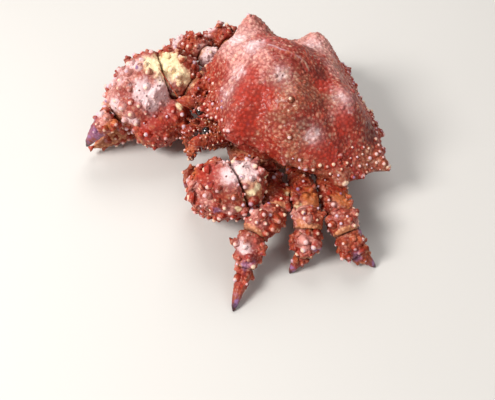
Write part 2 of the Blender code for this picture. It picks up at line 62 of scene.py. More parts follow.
THORAX_LOW, THORAX_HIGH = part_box("thorax")
MIDDLE = (THORAX_LOW + THORAX_HIGH) / 2
# The carapace's width over its side spines, in metres and in units
CARAPACE_WIDTH = 0.165
CARAPACE_UNITS = 224
UNIT = CARAPACE_WIDTH / CARAPACE_UNITS

# The start of the random numbers, and what each group of pieces adds to it
SEED = 7
PLATE_SEED = 100
LEG_SEED = 200
CLAW_SEED = 300
FEELER_SEED = 400
EYE_SEED = 500

# The view of the photograph: turn round the crab, tilt, distance and aim in units, lens
VIEW_TURN = 76.0
VIEW_TILT = 50.0
VIEW_DISTANCE = 687.0
VIEW_AIM = (65.256, -54.918, 5.721)
VIEW_LENS = 49.96

# The studio: each light's place, power, size and tint, then the world and the floor
LIGHTS = (
    ("key", (0.27, -0.90, 0.92), 19.5, 0.45, (1.0, 0.97, 0.94)),
    ("fill", (1.0, 0.5, 0.9), 3.5, 1.0, (0.96, 0.98, 1.0)),
    ("rim", (-0.8, 0.2, 1.0), 9.0, 0.8, (1.0, 0.98, 0.96)),
)
WORLD_TINT = (1.0, 0.98, 0.96, 1.0)
WORLD_STRENGTH = 0.25
FLOOR_SIZE = 6.0
FLOOR_TONES = ((0.60, 0.585, 0.56), (0.66, 0.645, 0.62))

LEG_PARTS = ("base", "merus", "carpus", "propodus", "dactyl")
CLAW_PARTS = ("base", "merus", "carpus", "palm", "finger")
PLATES = ("thorax", "abdomen_base", "abdomen_front", "abdomen_middle", "abdomen_tail")

# Distances in metres: corners that are one, and the widest gap of a joint
MERGE_DISTANCE = 1e-5
JOINT_REACH = 0.0013

# How a piece is smoothed: rounds that take its facets away, rounds that leave its plain form,
# the heights between which what stands out is kept, and how much higher it is made
SMOOTH_CARAPACE = (3, 110, (0.0004, 0.0012), 0.45)
SMOOTH_HAND = (5, 40, (0.0005, 0.0012), 1.1)
SMOOTH_LIMB = (2, 40, (0.00022, 0.0007), 1.15)
SMOOTH_PLATE = (3, 30, (0.0003, 0.0009), 1.0)
SMOOTH_FEELER = (2, 12, (0.0001, 0.0003), 1.0)
SMOOTH_STALK = (3, 12, (0.0001, 0.0003), 1.0)
# How high a boss stands where its tip starts to turn pale, and where it is pale
TIP_RISE = (0.0010, 0.0025)

# Spacing of the granules and of the knobs on a kind of piece, as a share of the common spacing
GRAIN_SPACING = {"carapace": 1.08, "limb": 0.9, "plate": 1.0, "feeler": 0.55, "stalk": 0.5}
KNOB_SPACING = {
    "carapace": 0.7, "hand": 0.92, "limb": 0.84, "plate": 1.0, "feeler": 0.5, "stalk": 0.42
}
# Sizes of low lumps and their height, in metres
CARAPACE_SWELL = (0.011, 0.0009)
LIMB_SWELL = (0.006, 0.0005)
PLATE_SWELL = (0.009, 0.0011)

# A limb's segment: the share of knobs and of granules, and how much of it a smooth patch loses
LIMB_KNOBS = (0.97, 0.68)
LIMB_GRAINS = (0.9, 0.3)
BASE_KNOBS = 0.6
# Shares of a segment's length between which its rim starts, and its point's knobs and granules end
RIM_REACH = (0.91, 1.0)
POINT_KNOBS = (0.55, 0.30)
POINT_GRAINS = (0.75, 0.45)
POINT_COLOUR = (0.25, 1.0)

# The carapace, in units: heights over which its margin starts, and places where its front does
MARGIN_HEIGHT = (76, 60)
FRONT_REACH = (-62, -72)
# Width and depth of the lines of the back, in metres; a negative depth stands up
FURROW_CUT = (0.0052, 0.0012)
RIDGE_CUT = (0.0050, -0.0012)
GROOVE_CUT = (0.0015, 0.0012)
LIP_CUT = (0.0014, -0.0007)

# A knob of radius and height 1: widths of its root and crown, its length, its middle's height,
# the heights of its rings, and how far each height bulges
KNOB_WIDTHS = (1.15, 0.30)
KNOB_LENGTH = 1.45
KNOB_MIDDLE = 0.225
KNOB_RINGS = (0.35, 0.75)
BULGE_HEIGHTS = (-0.5, 0.0, 0.35, 0.75, 0.95)
BULGE = (1.25, 1.2, 1.0, 1.15, 1.1)
# Heights between which a knob turns pale
CROWN = (0.22, 0.92)
# Radii that knobs have, as shares of their spacing, and how often each
KNOB_RADII = (0.24, 0.33, 0.42, 0.50)
KNOB_ODDS = (0.2, 0.3, 0.3, 0.2)

# The eyes, in units: middle of the left one, and the radius and stretch of the cornea
EYE_PLACE = (15, -84, 60)
CORNEA_RADIUS = 5.0
CORNEA_SHAPE = (1.0, 0.92, 1.06)
# How far the stalk's front is drawn in under the cornea, and where that starts
STALK_SHRINK = 0.93
STALK_FRONT = 1.2

# Colour patches: x, y, z and radius in units
# Lilac patches: pale pitted shell, and in part painted wet highlights where the back's red bulges catch the
# light.
LILAC_PATCHES = (
    (-39, -134, 76, 14), (-34, -126, 74, 15), (-42, -116, 73, 14), (-32, -131, 67, 11),
    (-66, -168, 76, 9), (-72, -152, 88, 9), (-38, -182, 60, 6), (-24, -156, 52, 8), (-56, -150, 74, 9),
    (-44, -164, 62, 9), (-68, -138, 84, 8),
    (79, -68, 76, 15), (90, -64, 77, 13), (94, -77, 80, 11),
    (-91, -53, 69, 12), (-84, -61, 70, 12), (13, -59, 105, 13), (4, -48, 116, 12),
    (-33, -42, 127, 16), (-12, -30, 133, 14), (28, -15, 129, 10), (77, 4, 93, 9),
    (50, 41, 107, 11), (142, -76, 36, 8), (-31, 36, 106, 12),
    (-131, -82, 60, 11), (-139, -42, 62, 11),
)
TAN_PATCHES = (
    (52, -14, 122, 20), (42, 6, 117, 17), (60, -22, 112, 15), (30, -15, 128, 9), (48, 26, 104, 14),
    (76, -14, 89, 14), (83, -14, 70, 13), (90, 7, 68, 12), (97, 8, 61, 13), (104, 26, 59, 14),
    (92, 66, 52, 13), (87, 58, 57, 15), (-60, -10, 118, 18), (-82, -18, 72, 14), (-98, 12, 60, 15),
    (-92, 66, 52, 13), (0, 60, 104, 14), (0, 82, 56, 16), (60, -48, 92, 9), (-60, -48, 92, 9),
)
PINK_PATCHES = (
    (-47, -30, 133, 22), (-31, -45, 122, 18), (-10, -44, 121, 18), (-39, 30, 108, 19),
    (-26, 47, 104, 19), (6, 47, 105, 17), (62, 30, 96, 10), (-50, 50, 100, 18), (20, 66, 84, 14),
    (20, -38, 126, 12), (8, -28, 132, 13), (47, -68, 92, 9), (118, -58, 48, 13), (126, -60, 44, 11),
    (150, -20, 30, 9), (120, -20, 44, 9), (132, 14, 36, 9),
    (-61, -167, 68, 15), (-64, -156, 79, 14), (-68, -143, 86, 14), (-72, -131, 90, 12),
    (-55, -172, 60, 13), (-30, -183, 56, 9), (-31, -160, 56, 11), (101, -102, 59, 7),
    (90, -108, 64, 8), (113, -83, 53, 8), (150, -78, 22, 9), (134, -23, 44, 9),
    (118, 16, 44, 8), (141, 26, 34, 9), (-120, -60, 60, 12), (-128, -20, 55, 12), (-118, 16, 50, 12),
)
GOLD_PATCHES = (
    (-59, -110, 84, 17), (-58, -101, 81, 14), (-52, -95, 74, 9), (-61, -120, 89, 12),
    (-68, -101, 86, 12), (-52, -111, 69, 4), (-48, -105, 60, 4), (-31, -103, 58, 4),
    (89, -44, 61, 4), (102, -54, 67, 4), (106, -61, 64, 4), (109, -68, 59, 4), (114, -76, 55, 4),
    (98, -24, 41, 4), (114, -18, 42, 4),
)
RED_PATCHES = (
    (16, -41, 124, 13), (49, -55, 95, 17), (41, -37, 114, 16), (34, -47, 118, 14), (29, 23, 112, 13),
    (63, 37, 93, 14), (87, 17, 74, 15), (68, 35, 90, 13), (-14, -17, 136, 11), (-22, -128, 52, 12),
    (-17, -139, 44, 11), (81, -98, 78, 12), (-30, -112, 52, 11),
)
# Dark patches: painted shade on the face under the front of the carapace and in low places of the back.
DARK_PATCHES = (
    (70, -4, 104, 8), (62, 69, 70, 14), (20, 26, 112, 9), (-20, 28, 112, 9), (16, -66, 63, 15),
)
ORANGE_PATCHES = (
    (109, -4, 45, 12), (114, 23, 40, 11), (98, -24, 41, 6), (94, -23, 42, 6), (71, -105, 68, 8),
    (66, -92, 74, 9), (62, -102, 62, 6), (-24, -125, 53, 6), (-18, -134, 48, 6), (-22, -146, 52, 5),
    (134, -24, 44, 5), (-26, -176, 50, 7),
)
PURPLE_PATCHES = (
    (155, -79, 26, 6), (150, -12, 24, 5), (164, 23, 18, 6), (149, 31, 33, 5), (-30, -190, 40, 11),
    (109, -93, 54, 5),
)
PATCHES = {
    "lilac": LILAC_PATCHES,
    "tan": TAN_PATCHES,
    "pink": PINK_PATCHES,
    "gold": GOLD_PATCHES,
    "red": RED_PATCHES,
    "dark": DARK_PATCHES,
    "orange": ORANGE_PATCHES,
    "purple": PURPLE_PATCHES,
}
# Lines of the back, x, y and z in units: the narrow groove, its lip, a furrow and a ridge
GROOVE = ((-9, -27, 134), (4, -13, 136), (15, 0, 136), (18, 8, 129), (24, 10, 123))
GROOVE_LIP = ((-4, -17, 136), (4, -8, 136), (12, 4, 134), (16, 12, 127), (22, 14, 122))
FURROW = ((66, -20, 104), (69, -8, 108), (65, 6, 109), (51, 23, 106), (47, 33, 109))
RIDGE = ((-28, -57, 115), (-22, -45, 124), (-15, -33, 131), (-3, -24, 135))


class CrabSizes(bpy.types.PropertyGroup):
    """Sizes of the shell's mesh and of its granules."""

    carapace_voxel: FloatProperty(
        name="Carapace mesh", description="Edge of the carapace's mesh", default=0.0008, unit="LENGTH"
    )
    limb_voxel: FloatProperty(
        name="Limb mesh", description="Edge of the limbs' mesh", default=0.00062, unit="LENGTH"
    )
    claw_voxel: FloatProperty(
        name="Claw mesh", description="Edge of the claws' mesh", default=0.0007, unit="LENGTH"
    )
    fine_voxel: FloatProperty(
        name="Fine mesh", description="Edge of the feelers' mesh", default=0.00034, unit="LENGTH"
    )
    granule_spacing: FloatProperty(
        name="Granule spacing", description="Between the small granules", default=0.0021, unit="LENGTH"
    )
    knob_spacing: FloatProperty(
        name="Knob spacing", description="Between the blunt knobs", default=0.0066, unit="LENGTH"
    )
    knob_sides: IntProperty(name="Knob sides", description="Corners round a knob", default=8, min=5, max=10)


def colour(name, value, description):
    return FloatVectorProperty(
        name=name, description=description, default=value, size=3, min=0.0, max=1.0, subtype="COLOR"
    )


class CrabColours(bpy.types.PropertyGroup):
    """The shell's colours, linear."""

    scarlet: colour("Scarlet", (0.40, 0.020, 0.006), "Main red of the shell")
    # Crimson is also the painted shade in the hollows and in the gaps between granules.
    crimson: colour("Crimson", (0.28, 0.018, 0.009), "Deeper red between the patches")
    salmon: colour("Salmon", (0.54, 0.13, 0.075), "Paler mottling")
    pink: colour("Pink", (0.70, 0.31, 0.27), "Pink bosses")
    # Lilac is also the painted wet highlight on the bulges of the back.
    lilac: colour("Lilac", (0.97, 0.77, 0.79), "Pale, pitted patches")
    cream: colour("Cream", (0.85, 0.62, 0.44), "Tips of the knobs")
    tan: colour("Tan", (0.27, 0.080, 0.038), "Mottled patches and margins")
    orange: colour("Orange", (0.58, 0.17, 0.045), "Smooth rims of the segments")
    rust: colour("Rust", (0.26, 0.048, 0.020), "Brownish red of the limbs")
    gold: colour("Gold", (1.0, 0.82, 0.50), "Yellow patch of the large claw")
    purple: colour("Purple", (0.30, 0.15, 0.32), "Purple tips")
    # Maroon is the shell's dark pits, and also the painted shade in the gaps and the dark patches.
    maroon: colour("Maroon", (0.080, 0.012, 0.008), "Pits and hollows")
    horn: colour("Horn", (0.045, 0.016, 0.022), "Points of the walking legs")
    belly: colour("Belly", (0.60, 0.24, 0.12), "Pale orange of the underside")


def at(x, y, z):
    """A place given in units from the floor under the thorax, in metres."""
    return Vector((MIDDLE.x + x * UNIT, MIDDLE.y + y * UNIT, z * UNIT))


def smoothstep(low, high, values):
    share = np.clip((values - low) / (high - low), 0.0, 1.0)
    return share * share * (3.0 - 2.0 * share)


def deselect():
    """Deselect everything."""
    bpy.ops.object.select_all(action="DESELECT")


def activate(piece):
    """Select this piece alone and make it active."""
    deselect()
    piece.select_set(True)
    bpy.context.view_layer.objects.active = piece


def shell_copy(node, name, voxel):
    """A copy of a node's mesh with its doubles merged, rebuilt in small even quads."""
    piece = bpy.data.objects.new(name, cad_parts[node].data.copy())
    bpy.context.scene.collection.objects.link(piece)
    activate(piece)
    bpy.ops.object.mode_set(mode="EDIT")
    bpy.ops.mesh.select_all(action="SELECT")
    bpy.ops.mesh.remove_doubles(threshold=MERGE_DISTANCE)
    bpy.ops.object.mode_set(mode="OBJECT")
    piece.data.materials.clear()
    remesh = piece.modifiers.new("Even quads", "REMESH")
    remesh.mode = "VOXEL"
    remesh.voxel_size = voxel
    bpy.ops.object.modifier_apply(modifier=remesh.name)
    return piece


class Skin:
    """A piece's mesh as arrays, with what grows on it and the masks that its paint reads."""

    MASKS = (
        "tip", "fleck", "gap", "hollow_shade", "edge", "point",
        "lilac", "tan", "pink", "gold", "red", "dark", "orange", "purple",
    )

    def __init__(self, piece):
        self.piece = piece
        mesh = piece.data
        self.count = len(mesh.vertices)
        flat = np.zeros(self.count * 3)
        mesh.vertices.foreach_get("co", flat)
        self.points = flat.reshape(-1, 3)
        links = np.zeros(len(mesh.edges) * 2, np.int32)
        mesh.edges.foreach_get("vertices", links)
        links = links.reshape(-1, 2)
        self.near = np.concatenate((links[:, 0], links[:, 1]))
        self.far = np.concatenate((links[:, 1], links[:, 0]))
        self.degree = np.maximum(np.bincount(self.near, minlength=self.count), 1)[:, None]
        self.mask = {name: np.zeros(self.count) for name in self.MASKS}

    def relaxed(self, points, rounds):
        """The points after rounds of moving half way to the mean of their neighbours."""
        for _ in range(rounds):
            moved = points[self.far]
            mean = np.stack(
                [np.bincount(self.near, moved[:, axis], self.count) for axis in range(3)], axis=1
            )
            points = 0.5 * points + 0.5 * mean / self.degree
        return points

    def store(self):
        self.piece.data.vertices.foreach_set("co", self.points.ravel())
        self.piece.data.update()

    def normals(self):
        self.store()
        flat = np.zeros(self.count * 3, np.float32)
        self.piece.data.vertex_normals.foreach_get("vector", flat)
        return flat.reshape(-1, 3).astype(float)

    def refine(self, light, heavy, keep, gain):
        """Smooth the facets away and keep what stands out, as the SMOOTH values say."""
        soft = self.relaxed(self.points, light)
        base = self.relaxed(soft, heavy)
        detail = soft - base
        size = np.linalg.norm(detail, axis=1)
        share = smoothstep(keep[0], keep[1], size)
        self.points = base + detail * share[:, None] * gain
        normal = self.normals()
        out = np.einsum("ij,ij->i", detail, normal)
        self.mask["tip"] = smoothstep(*TIP_RISE, out * share)

    def find_hollows(self, rounds, depth):
        """Mark what lies lower than its surroundings, for the shade painted into its hollows."""
        base = self.relaxed(self.points, rounds)
        normal = self.normals()
        self.mask["hollow_shade"] = smoothstep(0.0, depth, np.einsum("ij,ij->i", base - self.points, normal))

    def scatter(self, spacing, draw, weight):
        """Random corners at least spacing apart; weight is the share of them that is kept."""
        order = draw.permutation(self.count)
        keys = np.floor(self.points / spacing).astype(int)
        lot = draw.random(self.count)
        cells = {}
        chosen = []
        steps = [(i, j, k) for i in (-1, 0, 1) for j in (-1, 0, 1) for k in (-1, 0, 1)]
        for index in order[: max(200, self.count // 2)]:
            x, y, z = keys[index]
            place = self.points[index]
            clear = True
            for i, j, k in steps:
                for other in cells.get((x + i, y + j, z + k), ()):
                    gap = self.points[other] - place
                    if gap[0] * gap[0] + gap[1] * gap[1] + gap[2] * gap[2] < spacing * spacing:
                        clear = False
                        break
                if not clear:
                    break
            if clear:
                cells.setdefault((x, y, z), []).append(index)
                if lot[index] < weight[index]:
                    chosen.append(index)
        return chosen

    def grow(self, seeds, radii, heights, power, mask, strength):
        """Raise a round bump at each seed along the normals and mark it in a mask."""
        tree = kdtree.KDTree(self.count)
        for index, place in enumerate(self.points):
            tree.insert(place, index)
        tree.balance()
        lift = np.zeros(self.count)
        shade = self.mask[mask]
        for seed, radius, height, tone in zip(seeds, radii, heights, strength):
            for _, index, far in tree.find_range(Vector(self.points[seed]), radius):
                rise = (1.0 - (far / radius) ** 2) ** power
                lift[index] = max(lift[index], height * rise)
                shade[index] = max(shade[index], tone * rise)
        self.points = self.points + self.normals() * lift[:, None]
        return lift

    def sink_line(self, line, width, depth, mask, share):
        """Sink the skin along a line of places, or raise it, and mark it in a mask."""
        places = [np.array(at(*place)) for place in line]
        places = [self.points[np.linalg.norm(self.points - place, axis=1).argmin()] for place in places]
        far = np.full(self.count, np.inf)
        for start, end in zip(places, places[1:]):
            along = end - start
            part = np.clip((self.points - start) @ along / (along @ along), 0.0, 1.0)
            far = np.minimum(far, np.linalg.norm(self.points - start - part[:, None] * along, axis=1))
        sunk = np.exp(-((far / width) ** 2))
        self.points = self.points - self.normals() * (depth * sunk)[:, None]
        self.mask[mask] = np.maximum(self.mask[mask], share * sunk)

    def patch(self, mask, patches):
        """Fill a mask round the centres of its patches."""
        value = self.mask[mask]
        for x, y, z, radius in patches:
            far = np.linalg.norm(self.points - np.array(at(x, y, z)), axis=1) / (radius * UNIT)
            value = np.maximum(value, np.exp(-(far**2.0)))
        self.mask[mask] = value

    def knobs(self, name, seeds, radii, heights, tones, lean):
        """A skin of closed blunt knobs rooted in this one at the seeds, with its masks."""
        corners, faces = knob_shape(bpy.context.scene.crab_sizes.knob_sides)
        normal = self.normals()
        every = []
        links = []
        for order, seed in enumerate(seeds):
            upright = Vector(normal[seed] + lean)
            turn = np.array(upright.to_track_quat("Z", "Y").to_matrix())
            size = np.array((radii[order], radii[order], heights[order]))
            every.append(self.points[seed] + (corners * size) @ turn.T)
            links += [[corner + order * len(corners) for corner in face] for face in faces]
        mesh = bpy.data.meshes.new(name)
        mesh.from_pydata(np.concatenate(every).tolist(), [], links)
        piece = bpy.data.objects.new(name, mesh)
        bpy.context.scene.collection.objects.link(piece)
        grown = Skin(piece)
        crown = smoothstep(*CROWN, corners[:, 2])
        grown.mask["tip"] = np.concatenate([crown * tone for tone in tones])
        roots = np.repeat(np.array(seeds), len(corners))
        for mask in ("lilac", "tan", "pink", "gold", "red", "orange", "purple"):
            grown.mask[mask] = self.mask[mask][roots]
        return grown

    def finish(self, paint, slot, node):
        """Store the masks, shade smooth, paint, and hand the piece to the frame."""
        self.points[:, 2] = np.maximum(self.points[:, 2], 0.0)
        self.store()
        for name, values in self.mask.items():
            layer = self.piece.data.attributes.new(name, "FLOAT", "POINT")
            layer.data.foreach_set("value", values.astype(np.float32))
        hand_over(self.piece, paint, node)


def knob_shape(sides):
    """Corners and faces of a blunt knob of radius and height 1, its root sunk below 0."""
    deselect()
    middle = (0, 0, KNOB_MIDDLE)
    bpy.ops.mesh.primitive_cone_add(
        vertices=sides, radius1=KNOB_WIDTHS[0], radius2=KNOB_WIDTHS[1], depth=KNOB_LENGTH, location=middle
    )
    knob = bpy.context.active_object
    bpy.ops.object.mode_set(mode="EDIT")
    for height in KNOB_RINGS:
        bpy.ops.mesh.select_all(action="SELECT")
        bpy.ops.mesh.bisect(plane_co=(0, 0, height), plane_no=(0, 0, 1))
    bpy.ops.object.mode_set(mode="OBJECT")
    corners = np.array([vert.co for vert in knob.data.vertices]) + np.array(middle)
    faces = [list(face.vertices) for face in knob.data.polygons]
    bpy.data.objects.remove(knob, do_unlink=True)
    bulge = np.interp(corners[:, 2], BULGE_HEIGHTS, BULGE)
    corners[:, :2] *= bulge[:, None]
    return corners, faces


def hand_over(piece, paint, node):
    """Shade a piece smooth, paint it, and set it on its body in place of its node."""
    activate(piece)
    bpy.ops.object.shade_smooth()
    piece.data.materials.clear()
    piece.data.materials.append(paint)
    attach(piece, "root")
    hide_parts(node)


class Paint:
    """A Principled material and the few kinds of node that the shell's paint is made of."""

    def __init__(self, name, roughness, coat):
        self.material = bpy.data.materials.new(name)
        self.material.use_nodes = True
        self.tree = self.material.node_tree
        self.shader = self.tree.nodes["Principled BSDF"]
        self.shader.inputs["Roughness"].default_value = roughness
        self.shader.inputs["Coat Weight"].default_value = coat
        self.shader.inputs["Coat Roughness"].default_value = 0.16
        self.place = self.tree.nodes.new("ShaderNodeTexCoord").outputs["Object"]

    def link(self, source, target):
        if isinstance(source, bpy.types.NodeSocket):
            self.tree.links.new(source, target)
        elif isinstance(source, (int, float)):
            target.default_value = source
        else:
            target.default_value = (*source, 1.0)

    def mask(self, name):
        node = self.tree.nodes.new("ShaderNodeAttribute")
        node.attribute_name = name
        return node.outputs["Fac"]

    def noise(self, size, detail=3.0, roughness=0.55):
        node = self.tree.nodes.new("ShaderNodeTexNoise")
        node.inputs["Scale"].default_value = 1.0 / size
        node.inputs["Detail"].default_value = detail
        node.inputs["Roughness"].default_value = roughness
        self.link(self.place, node.inputs["Vector"])
        return node.outputs["Fac"]

    def cells(self, size):
        node = self.tree.nodes.new("ShaderNodeTexVoronoi")
        node.inputs["Scale"].default_value = 1.0 / size
        self.link(self.place, node.inputs["Vector"])
        return node.outputs["Distance"]

    def math(self, operation, first, second=0.0):
        node = self.tree.nodes.new("ShaderNodeMath")
        node.operation = operation
        node.use_clamp = operation in ("MULTIPLY", "MULTIPLY_ADD")
        self.link(first, node.inputs[0])
        self.link(second, node.inputs[1])
        return node.outputs[0]

    def step(self, value, low, high):
        """0 below low, 1 above high, smooth between."""
        node = self.tree.nodes.new("ShaderNodeMapRange")
        node.interpolation_type = "SMOOTHSTEP"
        node.inputs["From Min"].default_value = low
        node.inputs["From Max"].default_value = high
        self.link(value, node.inputs["Value"])
        return node.outputs["Result"]

    def mix(self, share, first, second):
        node = self.tree.nodes.new("ShaderNodeMix")
        node.data_type = "RGBA"
        self.link(share, node.inputs["Factor"])
        self.link(first, node.inputs["A"])
        self.link(second, node.inputs["B"])
        return node.outputs["Result"]

    def blotches(self, size, detail, low, high, roughness=0.55):
        """Noise of this size, 0 below low and 1 above high."""
        return self.step(self.noise(size, detail, roughness), low, high)

    def tinted(self, base, share, strength, tone):
        """The base with a tone over it, by share times strength."""
        return self.mix(self.math("MULTIPLY", share, strength), base, tone)

    def speckled(self, name, size, share):
        """A mask that breaks up into speckles where it fades."""
        fine = self.math("MULTIPLY", self.noise(size, 4, 0.65), 0.6)
        coarse = self.math("MULTIPLY", self.noise(size * 3.3, 3), 0.5)
        filled = self.math("MULTIPLY", self.mask(name), 0.48)
        broken = self.math("ADD", self.math("ADD", fine, coarse), filled)
        return self.math("MULTIPLY", self.step(broken, 0.66, 0.90), share)

    def bump(self, height, distance, strength, before=None):
        node = self.tree.nodes.new("ShaderNodeBump")
        node.inputs["Distance"].default_value = distance
        node.inputs["Strength"].default_value = strength
        self.link(height, node.inputs["Height"])
        if before is not None:
            self.link(before, node.inputs["Normal"])
        return node.outputs["Normal"]


def shell_paint(name, tones, limb=0.0, horn_tip=False, wet=0.12, belly=0.0):
    """The wet, mottled and knobbed shell. limb and belly are how much of it is rust or pale."""
    paint = Paint(name, 0.42, wet)
    base = paint.mix(paint.blotches(0.018, 4, 0.40, 0.62), tones.crimson, tones.scarlet)
    rust = paint.mix(paint.blotches(0.007, 4, 0.42, 0.62), tones.rust, tones.orange)
    base = paint.tinted(base, paint.blotches(0.015, 3, 0.36, 0.60), limb, rust)
    base = paint.tinted(base, paint.blotches(0.012, 4, 0.34, 0.56), belly, tones.belly)
    base = paint.tinted(base, paint.blotches(0.009, 5, 0.48, 0.66, 0.68), 0.6 - 0.5 * limb, tones.salmon)
    base = paint.tinted(base, paint.blotches(0.0042, 4, 0.54, 0.72, 0.7), 0.5, tones.orange)
    base = paint.mix(paint.speckled("pink", 0.0045, 0.8), base, tones.pink)
    tan = paint.mix(paint.blotches(0.0026, 3, 0.48, 0.68, 0.7), tones.tan, tones.salmon)
    base = paint.mix(paint.speckled("tan", 0.0038, 0.85), base, tan)
    fine = paint.noise(0.0022, 3, 0.6)
    base = paint.tinted(base, paint.step(fine, 0.54, 0.66), 0.34 - 0.2 * limb, tones.cream)
    base = paint.tinted(base, paint.step(fine, 0.47, 0.35), 0.65, tones.crimson)
    rim = paint.mix(0.18, tones.orange, tones.gold)
    for mask, size, share, tone in (
        ("red", 0.0045, 0.95, tones.scarlet),
        ("edge", 0.005, 0.8, rim),
        ("orange", 0.005, 0.75, tones.orange),
        ("gold", 0.006, 1.0, tones.gold),
    ):
        base = paint.mix(paint.speckled(mask, size, share), base, tone)
    # Lilac: pale pitted shell, and in part a painted wet highlight.
    base = paint.tinted(base, paint.mask("lilac"), 0.55 - 0.8 * limb, tones.lilac)
    for mask, size, share, tone in (
        ("lilac", 0.0035, 0.7, tones.lilac),
        ("purple", 0.004, 0.8, tones.purple),
        # Painted shade: the dark mask, speckled to maroon.
        ("dark", 0.004, 0.75, tones.maroon),
    ):
        base = paint.mix(paint.speckled(mask, size, share), base, tone)
    # Painted shade: the hollows are darkened towards crimson.
    base = paint.tinted(base, paint.mask("hollow_shade"), 0.6, tones.crimson)
    grain = paint.mix(paint.blotches(0.006, 3, 0.42, 0.60), tones.salmon, tones.cream)
    base = paint.tinted(base, paint.mask("fleck"), 0.46 - 0.3 * limb, grain)
    # Painted shade: the gaps round granules and knobs and the narrow groove, darkened to crimson and
    # maroon.
    sunk = paint.mix(0.5, tones.crimson, tones.maroon)
    base = paint.tinted(base, paint.mask("gap"), 0.58, sunk)
    pit = paint.step(paint.cells(0.0036), 0.30, 0.14)
    pit = paint.math("MULTIPLY", pit, paint.speckled("lilac", 0.006, 0.9))
    base = paint.mix(pit, base, tones.maroon)
    rosy = paint.mix(0.45, tones.pink, tones.lilac)
    crown = paint.mix(paint.blotches(0.008, 2, 0.46, 0.56), tones.cream, rosy)
    orchid = paint.mix(0.45, tones.lilac, tones.purple)
    crown = paint.mix(paint.blotches(0.0095, 2, 0.52, 0.60), crown, orchid)
    crown = paint.mix(paint.blotches(0.012, 2, 0.60, 0.66), crown, tones.purple)
    base = paint.tinted(base, paint.step(paint.mask("tip"), 0.18, 0.70), 0.9, crown)
    if horn_tip:
        streak = paint.math("MULTIPLY", paint.noise(0.0035, 4, 0.7), 0.5)
        reach = paint.math("ADD", paint.mask("point"), streak)
        shade = paint.mix(paint.blotches(0.005, 3, 0.40, 0.60), tones.purple, tones.rust)
        base = paint.mix(paint.step(reach, 0.55, 0.95), base, shade)
        base = paint.mix(paint.step(reach, 1.02, 1.25), base, tones.horn)
    paint.link(base, paint.shader.inputs["Base Color"])
    paint.shader.inputs["Specular IOR Level"].default_value = 0.28
    rough = paint.tree.nodes.new("ShaderNodeMapRange")
    rough.inputs["To Min"].default_value = 0.34
    rough.inputs["To Max"].default_value = 0.62
    paint.link(paint.noise(0.006, 3), rough.inputs["Value"])
    paint.link(rough.outputs["Result"], paint.shader.inputs["Roughness"])
    grain = paint.bump(paint.noise(0.0009, 3, 0.6), 0.0003, 0.5)
    pitted = paint.bump(paint.cells(0.0022), 0.0006, 0.45, grain)
    paint.link(pitted, paint.shader.inputs["Normal"])
    return paint.material


def eye_paint(name):
    """Polished, nearly black cornea with a faint brown bloom."""
    paint = Paint(name, 0.08, 1.0)
    black = (0.008, 0.005, 0.006)
    brown = (0.035, 0.014, 0.010)
    base = paint.mix(paint.blotches(0.0016, 3, 0.4, 0.7), black, brown)
    paint.link(base, paint.shader.inputs["Base Color"])
    paint.link(paint.bump(paint.cells(0.0003), 0.00003, 0.4), paint.shader.inputs["Normal"])
    return paint.material


def place_patches(skin):
    """The colour patches that a piece has by its place on the crab."""
    for mask, patches in PATCHES.items():
        skin.patch(mask, patches)


def grow_granules(skin, spacing, draw, weight):
    """Small granules that touch, with shade painted into the gaps between them where weight is high."""
    grains = skin.scatter(spacing, draw, weight)
    radii = draw.uniform(0.45, 0.90, len(grains)) * spacing
    heights = radii * draw.uniform(0.14, 0.50, len(grains))
    lift = skin.grow(grains, radii, heights, 1.4, "fleck", draw.uniform(0.0, 1.0, len(grains)) ** 2.2)
    bald = np.clip(skin.mask["lilac"] + skin.mask["gold"] + skin.mask["orange"], 0.0, 1.0)
    # Painted shade in the low ground between the granules, less on the bald patches.
    skin.mask["gap"] = smoothstep(0.09 * spacing, 0.0, lift) * weight * (1 - 0.85 * bald)


def grow_knobs(skin, name, spacing, draw, weight, lean, tall=1.0, pale=(0.25, 1.0)):
    """Blunt knobs with pale tips, as a piece of their own."""
    seeds = skin.scatter(spacing, draw, weight)
    if not seeds:
        return None
    rosy = skin.mask["pink"][seeds]
    radii = draw.choice(KNOB_RADII, len(seeds), p=KNOB_ODDS) * spacing
    radii *= 1.0 + 0.3 * rosy
    heights = radii * draw.uniform(0.8, 1.3, len(seeds)) * tall
    tones = draw.uniform(*pale, len(seeds)) + 0.5 * np.maximum(rosy, skin.mask["tan"][seeds])
    # A ring of painted shade round each knob's root.
    skin.grow(seeds, radii * 1.6, np.zeros(len(seeds)), 0.7, "gap", np.full(len(seeds), 0.7))
    return skin.knobs(name, seeds, radii, heights, np.minimum(tones, 1.0), lean)


def swell(skin, size, height, draw):
    """Low uneven lumps over the whole surface."""
    seeds = skin.scatter(size, draw, np.ones(skin.count))
    radii = draw.uniform(0.9, 1.5, len(seeds)) * size
    heights = draw.uniform(0.1, 1.0, len(seeds)) * height
    skin.grow(seeds, radii, heights, 1.5, "tip", np.zeros(len(seeds)))


def touching(skin, node):
    """Which corners of a skin lie against another node, across the joint's gap."""
    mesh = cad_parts[node].data
    tree = BVHTree.FromPolygons(
        [vert.co for vert in mesh.vertices], [tuple(face.vertices) for face in mesh.polygons]
    )
    low, high = (np.array(corner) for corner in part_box(node))
    near = np.all((skin.points > low - JOINT_REACH) & (skin.points < high + JOINT_REACH), axis=1)
    for index in np.nonzero(near)[0]:
        near[index] = tree.find_nearest(skin.points[index], JOINT_REACH)[0] is not None
    return near


